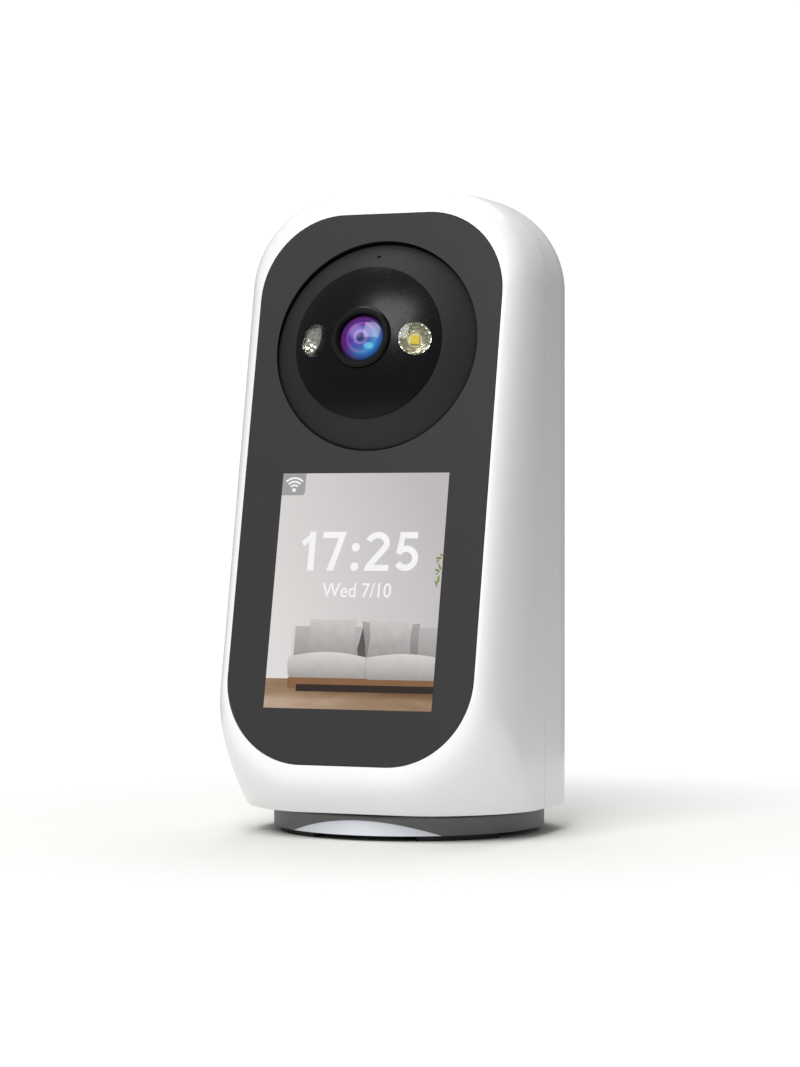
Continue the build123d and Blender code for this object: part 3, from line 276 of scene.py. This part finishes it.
look = {
    "white_housing": grained("white_housing", (0.86, 0.86, 0.87), 0.33, grain=1.6, strength=0.03,
                             coat=0.25, tint=0.006),
    "panel_charcoal": grained("panel_charcoal", (0.0245, 0.0245, 0.026), 0.52, grain=3.0,
                              strength=0.03, tint=0.03, specular=0.25),
    "screen_glass": thin_glass("screen_glass", roughness=0.08),
    "display": emissive("display", wall_color),
    "eye_matt": grained("eye_matt", (0.021, 0.021, 0.022), 0.55, grain=3.0, strength=0.06,
                        specular=0.25),
    "eye_gloss": grained("eye_gloss", (0.005, 0.005, 0.006), 0.28, grain=1.0, strength=0.01,
                         specular=0.16),
    "lens_black": grained("lens_black", (0.004, 0.004, 0.0045), 0.3, grain=4.0, strength=0.04,
                          specular=0.12),
    "optical_glass": thin_glass("optical_glass", (0.8, 0.85, 0.95)),
    "coated_glass": coated_lens(),
    "clear_lens": thin_glass("clear_lens", (0.97, 0.97, 0.94)),
    "reflector": reflector_material(),
    "led_yellow": grained("led_yellow", (0.98, 0.74, 0.05), 0.5, grain=3.0, strength=0.2),
    "inner_plastic": grained("inner_plastic", (0.03, 0.03, 0.033), 0.5, grain=2.0, strength=0.2),
    "pale_plastic": grained("pale_plastic", (0.75, 0.75, 0.76), 0.4, grain=2.0),
    "acetal": grained("acetal", (0.72, 0.71, 0.66), 0.42, grain=2.0, tint=0.02),
    "base_grey": grained("base_grey", (0.135, 0.136, 0.138), 0.5, grain=3.5, strength=0.2),
    "inlay_pale": grained("inlay_pale", (0.72, 0.75, 0.80), 0.35, grain=2.0, strength=0.05),
    "black_rubber": grained("black_rubber", (0.02, 0.02, 0.02), 0.75, grain=2.5, strength=0.4),
    "steel": brushed("steel", (0.62, 0.62, 0.63), 0.28),
    "zinc_screw": brushed("zinc_screw", (0.58, 0.58, 0.6), 0.3, (1, 1, 4)),
    "motor_can": brushed("motor_can", (0.66, 0.66, 0.67), 0.3, (4, 4, 0.2)),
    "brass_gear": brushed("brass_gear", (0.75, 0.56, 0.24), 0.25, (3, 3, 1)),
    "circuit_board": board_material(),
    "shield_can": brushed("shield_can", (0.72, 0.72, 0.73), 0.35, (0.3, 3, 3)),
    "foil": brushed("foil", (0.82, 0.82, 0.84), 0.2, (1, 1, 1)),
    "silicon": grained("silicon", (0.03, 0.03, 0.07), 0.12, grain=0.8, strength=0.02, coat=0.8),
    "paper_cone": grained("paper_cone", (0.03, 0.03, 0.03), 0.85, grain=5.0, strength=0.6),
    "ferrite": grained("ferrite", (0.05, 0.05, 0.05), 0.6, grain=4.0, strength=0.4),
    "tape": grained("tape", (0.02, 0.02, 0.02), 0.8, grain=4.0, strength=0.3),
    "ribbon": grained("ribbon", (0.45, 0.2, 0.04), 0.35, grain=1.0, strength=0.1),
}

slot_of = {part["node"]: part["material_slot"] for part in frame["record"]["subparts"]}
for node, piece in frame["nodes"].items():
    piece.data.materials.clear()
    piece.data.materials.append(look[slot_of[node]])
lamp_board_white = grained("lamp_board_white", (0.82, 0.82, 0.78), 0.4, grain=2.0)
frame["nodes"]["lamp_boards"].data.materials[0] = lamp_board_white


# ---- outlines as lists of points ---------------------------------------------------------
def oval(cx, cy, rx, ry, first, last, steps=20):
    """Points along an ellipse, from one angle to another in degrees."""
    angles = [math.radians(first + (last - first) * i / steps) for i in range(steps + 1)]
    return [(cx + rx * math.cos(angle), cy + ry * math.sin(angle)) for angle in angles]


def rounded_box(x0, y0, x1, y1, radius, steps=6):
    """Rectangle with round corners."""
    points = []
    for cx, cy, start in ((x1 - radius, y1 - radius, 0), (x0 + radius, y1 - radius, 90),
                          (x0 + radius, y0 + radius, 180), (x1 - radius, y0 + radius, 270)):
        points += oval(cx, cy, radius, radius, start, start + 90, steps)
    return points


def arc_band(cx, cy, inner, outer, first, last):
    """Part of a ring."""
    return (oval(cx, cy, outer, outer, first, last, 12)
            + oval(cx, cy, inner, inner, last, first, 12))


def cushion(left, right, low, high, bulge):
    """Seat cushion: round lower corners and an arched top."""
    points = [(left + 0.5, low), (right - 0.3, low), (right, low + 0.5)]
    for step in range(13):
        t = step / 12
        points.append((right + (left - right) * t, high + bulge * math.sin(math.pi * t)))
    return points + [(left - 0.3, high - 1.5), (left, low + 0.8)]


def pillow(left, low, right, high, tuck):
    """Square pillow with pointed corners and drawn-in sides."""
    corners = [(left, low), (right, low), (right, high), (left, high)]
    middle_x, middle_y = (left + right) / 2, (low + high) / 2
    points = []
    for (x0, y0), (x1, y1) in zip(corners, corners[1:] + corners[:1]):
        for step in range(8):
            t = step / 8
            pull = tuck * math.sin(math.pi * t)
            x, y = x0 + (x1 - x0) * t, y0 + (y1 - y0) * t
            points.append((x + (middle_x - x) * pull, y + (middle_y - y) * pull))
    return points


def leaf(cx, cy, size, degrees):
    """Narrow oval leaf, turned by an angle."""
    turn = math.radians(degrees)
    return [(cx + x * math.cos(turn) - y * math.sin(turn),
             cy + x * math.sin(turn) + y * math.cos(turn))
            for x, y in oval(0, 0, size, size * 0.4, 0, 330, 11)]


def stroke(points, width):
    """Line of even width through the given points."""
    left, right = [], []
    for i, (x, y) in enumerate(points):
        x0, y0 = points[max(i - 1, 0)]
        x1, y1 = points[min(i + 1, len(points) - 1)]
        length = math.hypot(x1 - x0, y1 - y0)
        dx, dy = -(y1 - y0) / length * width / 2, (x1 - x0) / length * width / 2
        left.append((x + dx, y + dy))
        right.append((x - dx, y - dy))
    return left + right[::-1]


# ---- pieces of the picture ---------------------------------------------------------------
def at_screen(layer):
    """Matrix from millimetres on the screen to the row frame; higher layers lie further out."""
    out = (layer + 1) * PICTURE_LAYER - PICTURE_DEPTH
    return (Matrix.Translation(screen_middle) @ panel_turn
            @ Matrix.Translation((0, 0, out)) @ Matrix.Scale(MM, 4))


def show(name, mesh, material):
    """Make a mesh a piece of the display, which rides on the tower."""
    mesh.materials.append(material)
    piece = bpy.data.objects.new(name, mesh)
    bpy.context.collection.objects.link(piece)
    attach(piece, "tower")


def flat_piece(name, outlines, layer, material):
    """Flat shapes on the screen, clipped to its right and left edges."""
    mesh = bpy.data.meshes.new(name)
    shape = bmesh.new()
    for outline in outlines:
        corners = [shape.verts.new((min(max(x, -HALF_W), HALF_W), y, 0)) for x, y in outline]
        shape.faces.new(corners)
    bmesh.ops.triangulate(shape, faces=shape.faces)
    bmesh.ops.transform(shape, matrix=at_screen(layer), verts=shape.verts)
    shape.to_mesh(mesh)
    shape.free()
    show(name, mesh, material)


def text_piece(name, words, width, height, middle_y, layer, material):
    """Thin lettering on the screen, scaled to a width and height in millimetres."""
    curve = bpy.data.curves.new(name, "FONT")
    curve.body = words
    curve.align_x = "CENTER"
    curve.offset = 0.004
    lettering = bpy.data.objects.new(name, curve)
    bpy.context.collection.objects.link(lettering)
    bpy.context.view_layer.update()
    mesh = bpy.data.meshes.new_from_object(lettering)
    bpy.data.objects.remove(lettering)
    mesh.name = name
    low = Vector([min(v.co[i] for v in mesh.vertices) for i in range(3)])
    high = Vector([max(v.co[i] for v in mesh.vertices) for i in range(3)])
    fit = (Matrix.Translation((0, middle_y, 0))
           @ Matrix.Diagonal((width / (high.x - low.x), height / (high.y - low.y), 1, 1))
           @ Matrix.Translation(-(low + high) / 2))
    mesh.transform(at_screen(layer) @ fit)
    show(name, mesh, material)


# ---- colours of the picture --------------------------------------------------------------
def constant(color):
    """Nearly even colour with a faint unevenness."""
    def make(n, here, x, y):
        drift = n.noise(here, 0.25, 3.0)
        return n.ramp(drift, [(0.3, [c * 0.94 for c in color]), (0.7, color)])
    return make


def shaded(low_color, high_color, low_y, high_y, folds=0.15):
    """Soft vertical shading with a few folds, for upholstery."""
    def make(n, here, x, y):
        rise = n.span(y, 0.0, 1.0, low_y, high_y)
        wrinkle = n.noise(here, 0.35, 3.0)
        value = n.math("ADD", rise, n.math("MULTIPLY", n.math("SUBTRACT", wrinkle, 0.5), folds * 2))
        return n.ramp(value, [(0.0, low_color), (1.0, high_color)])
    return make


def wood(n, here, x, y):
    """Wood floor: darker to the right and in the shade under the sofa."""
    grain = n.noise(n.stretch(here, (0.3, 1.2, 1)), 0.5, 3.0)
    lit = n.math("SUBTRACT", n.span(x, 0.62, 0.3, -22, 10), n.span(y, 0.0, 0.35, -26.5, -24.5))
    value = n.math("ADD", lit, n.math("MULTIPLY", grain, 0.35))
    return n.ramp(value, [(0.15, (0.16, 0.085, 0.04)), (0.5, (0.33, 0.215, 0.135)),
                          (0.85, (0.52, 0.39, 0.29))])


BOTTOM = -HALF_H
FLOOR_LINE = BOTTOM + 7.2
SEAT_TOP = BOTTOM + 12.6
BACK_TOP = BOTTOM + 20.0
PILLOW_TOP = BOTTOM + 21.6
SOFA_LEFT = -HALF_W + 5.4
SEAT_MIDDLE = SOFA_LEFT + 20.1

white_light = emissive("display_white", constant((0.96, 0.96, 0.96)))
tile_grey = emissive("display_tile", constant((0.37, 0.36, 0.36)))
floor_wood = emissive("display_floor", wood)
side_pale = emissive("display_side", constant((0.68, 0.66, 0.65)))
sofa_back = emissive("display_sofa_back",
                     shaded((0.33, 0.31, 0.305), (0.50, 0.475, 0.47), BOTTOM + 12, BACK_TOP))
sofa_seat = emissive("display_sofa_seat",
                     shaded((0.36, 0.34, 0.33), (0.68, 0.655, 0.645), BOTTOM + 7.5, SEAT_TOP + 0.8))
sofa_frame = emissive("display_sofa_frame", constant((0.25, 0.125, 0.06)))
dark_gap = emissive("display_gap", constant((0.035, 0.024, 0.02)))
fold_grey = emissive("display_fold", constant((0.11, 0.10, 0.10)))
pillow_pale = emissive("display_pillow",
                       shaded((0.33, 0.315, 0.31), (0.60, 0.58, 0.57), SEAT_TOP - 0.1,
                              PILLOW_TOP - 0.1, 0.3))
pillow_dim = emissive("display_pillow_dim",
                      shaded((0.20, 0.19, 0.185), (0.40, 0.385, 0.38), SEAT_TOP - 0.1,
                             PILLOW_TOP - 0.1, 0.3))
leaf_green = emissive("display_leaf", constant((0.21, 0.27, 0.07)))


# ---- what the screen shows ---------------------------------------------------------------
def make_sofa():
    """Sofa on a wooden frame, with four pillows."""
    flat_piece("screen_floor", [rounded_box(-HALF_W, BOTTOM, HALF_W, FLOOR_LINE, 0.01, 1)], 0,
               floor_wood)
    flat_piece("screen_sofa_shadow",
               [rounded_box(SOFA_LEFT + 2.4, FLOOR_LINE - 3.0, HALF_W, FLOOR_LINE - 0.6, 0.3)], 1,
               dark_gap)
    flat_piece("screen_sofa_back",
               [rounded_box(SOFA_LEFT + 0.4, FLOOR_LINE, HALF_W + 8, BACK_TOP, 0.8)], 1, sofa_back)
    flat_piece("screen_sofa_side",
               [rounded_box(SOFA_LEFT + 0.4, BOTTOM + 12, SOFA_LEFT + 1.1, BACK_TOP, 0.3)], 2,
               side_pale)
    flat_piece("screen_sofa_frame",
               [rounded_box(SOFA_LEFT + 0.1, FLOOR_LINE - 1.3, HALF_W, FLOOR_LINE + 0.3, 0.1),
                rounded_box(SOFA_LEFT + 0.1, FLOOR_LINE - 2.4, SOFA_LEFT + 2.4, FLOOR_LINE, 0.1)], 2,
               sofa_frame)
    flat_piece("screen_pillow_back",
               [pillow(SEAT_MIDDLE - 1.8, SEAT_TOP, SEAT_MIDDLE + 6.0, PILLOW_TOP - 0.2, 0.10),
                pillow(SEAT_MIDDLE + 8.0, SEAT_TOP + 0.2, SEAT_MIDDLE + 13.0, PILLOW_TOP - 0.6,
                       0.06)], 3, pillow_dim)
    flat_piece("screen_pillows",
               [pillow(SOFA_LEFT + 4.6, SEAT_TOP + 0.3, SOFA_LEFT + 16.9, PILLOW_TOP + 0.2, 0.07),
                pillow(SEAT_MIDDLE, SEAT_TOP, SEAT_MIDDLE + 11.3, PILLOW_TOP, 0.09)], 4, pillow_pale)
    gap = [(-2.6, 1.8), (-1.5, 7.2), (-0.6, 3.0), (-0.3, -0.2), (-2.2, -0.2)]
    flat_piece("screen_pillow_gap", [[(SEAT_MIDDLE + x, SEAT_TOP + y) for x, y in gap]], 5,
               fold_grey)
    flat_piece("screen_sofa_seat",
               [cushion(SOFA_LEFT, SEAT_MIDDLE - 0.15, FLOOR_LINE + 0.3, SEAT_TOP, 1.2),
                cushion(SEAT_MIDDLE + 0.15, HALF_W + 2, FLOOR_LINE + 0.1, SEAT_TOP, 1.0)], 6,
               sofa_seat)


def make_plant():
    """A few small leaves that reach in from the right."""
    leaves = []
    for index in range(11):
        reach = 0.5 + 0.9 * abs(math.sin(index * 2.3))
        size = 0.55 + 0.2 * math.sin(index * 1.7)
        leaves.append(leaf(HALF_W - reach, 8.8 - 0.75 * index, size, 150 + 37 * index))
    flat_piece("screen_plant", leaves, 2, leaf_green)


def make_signal_tile():
    """Grey tile in the top left corner with a generic signal sign."""
    width, height, corner = 5.9, 5.3, 0.8
    left, low = -HALF_W, HALF_H - height
    tile = [(left, HALF_H), (left, low)]
    tile += oval(left + width - corner, low + corner, corner, corner, -90, 0, 6)
    tile += [(left + width, HALF_H)]
    flat_piece("screen_tile", [tile], 1, tile_grey)
    fan_x, fan_y = left + width / 2, low + 1.2
    fan = [arc_band(fan_x, fan_y, inner, inner + 0.45, 45, 135) for inner in (1.05, 1.95, 2.85)]
    fan.append(oval(fan_x, fan_y + 0.1, 0.5, 0.5, 0, 330, 11))
    flat_piece("screen_signal", fan, 3, white_light)


def make_clock():
    """Plain digits as strokes, with the date under them."""
    text_piece("screen_date", "Wed 7/10", 17.8, 3.5, 0.1, 7, white_light)
    low, high = 4.85, 14.35        # foot and head of the digits
    pen = 1.55
    one = [[(-13.3, low), (-11.7, low), (-11.7, high), (-13.3, high)],
           [(-15.3, high - 2.3), (-12.4, high), (-12.4, high - 1.9), (-14.7, high - 3.5)]]
    seven = [[(-9.8, high - pen), (-4.6, high - pen), (-3.7, high), (-9.8, high)],
             [(-5.3, high - 0.4), (-3.7, high), (-6.6, low), (-8.3, low)]]
    colon = [oval(-1.1, y, 1.05, 1.05, 0, 342, 18) for y in (10.6, 5.85)]
    two = [stroke(oval(4.5, 11.6, 2.35, 1.98, 165, -38) + [(2.2, low + 0.7)], pen),
           [(1.4, low), (7.7, low), (7.7, low + pen - 0.1), (1.9, low + pen - 0.1)]]
    five = [[(10.0, high - pen), (14.7, high - pen), (14.7, high), (10.2, high)],
            [(9.5, 9.0), (11.0, 9.4), (11.6, high), (10.2, high)],
            stroke(oval(12.0, 7.95, 2.38, 2.32, 150, -148), pen)]
    flat_piece("screen_clock", one + seven + colon + two + five, 7, white_light)


make_sofa()
make_plant()
make_signal_tile()
make_clock()


# ---- floor, lights, camera ---------------------------------------------------------------
FLOOR_RADIUS = 0.24
FADE_MM = (45, 200)                # the floor turns to plain white between these radii
WHITE = 1.05
FILL = 0.27
KEY_PLACE = (-0.02, -1.05, 1.05)
TOP_PLACE = (-0.1, 0.55, 1.25)
LIGHT_TARGET = (0, 0, 0.075)
CAMERA_PLACE = Vector((0.27465, -0.69988, 0.07695))
CAMERA_TARGET = Vector((-0.00245, 0.0, 0.07353))


def make_floor():
    """Pale round floor that takes the contact shadow and melts into the white backdrop."""
    mesh = bpy.data.meshes.new("studio_floor")
    rim = [(x, y, 0) for x, y in oval(0, 0, FLOOR_RADIUS, FLOOR_RADIUS, 0, 355, 71)]
    mesh.from_pydata(rim, [], [tuple(range(len(rim)))])
    floor = bpy.data.objects.new("studio_floor", mesh)
    bpy.context.collection.objects.link(floor)
    material, n = new_material("studio_floor")
    mottle = n.noise(n.place(), 0.004, 2.0)
    shader = n.add("ShaderNodeBsdfPrincipled", {
        "Base Color": n.ramp(mottle, [(0.3, (0.80, 0.795, 0.77)), (0.7, (0.83, 0.825, 0.80))]),
        "Roughness": 0.6, "Specular IOR Level": 0.2})
    white = n.add("ShaderNodeEmission", {"Color": (1, 1, 1, 1), "Strength": WHITE}).outputs[0]
    fade = n.add("ShaderNodeMixShader", {"Fac": n.span(n.length(n.place()), 0.0, 1.0, *FADE_MM),
                                         1: shader.outputs[0], 2: white})
    n.finish(fade.outputs[0])
    mesh.materials.append(material)


def softbox(name, place, size, power):
    """Square light that points at the middle of the object."""
    light = bpy.data.lights.new(name, "AREA")
    light.size = size
    light.energy = power
    lamp = bpy.data.objects.new(name, light)
    lamp.location = place
    lamp.rotation_euler = (Vector(LIGHT_TARGET) - Vector(place)).to_track_quat("-Z", "Y").to_euler()
    bpy.context.collection.objects.link(lamp)


def make_world():
    """White behind the object, and a dimmer even fill for everything else."""
    world = bpy.data.worlds.new("studio")
    bpy.context.scene.world = world
    world.use_nodes = True
    n = Nodes(world.node_tree)
    seen = n.add("ShaderNodeLightPath").outputs["Is Camera Ray"]
    backdrop = n.add("ShaderNodeBackground", {"Color": (1, 1, 1, 1), "Strength": WHITE}).outputs[0]
    fill = n.add("ShaderNodeBackground", {"Color": (1, 1, 1, 1), "Strength": FILL}).outputs[0]
    mix = n.add("ShaderNodeMixShader", {"Fac": seen, 1: fill, 2: backdrop})
    n.add("ShaderNodeOutputWorld", {"Surface": mix.outputs[0]})


def make_camera():
    camera = bpy.data.objects.new("camera", bpy.data.cameras.new("camera"))
    camera.data.lens = 101.6
    camera.data.sensor_width = 36.0
    camera.data.clip_start = 0.01
    camera.location = CAMERA_PLACE
    camera.rotation_euler = (CAMERA_TARGET - CAMERA_PLACE).to_track_quat("-Z", "Y").to_euler()
    bpy.context.collection.objects.link(camera)
    bpy.context.scene.camera = camera


make_floor()
make_world()
softbox("key", KEY_PLACE, 0.8, 19.0)
softbox("top", TOP_PLACE, 1.0, 9.0)
make_camera()
bpy.context.scene.view_settings.view_transform = "Standard"
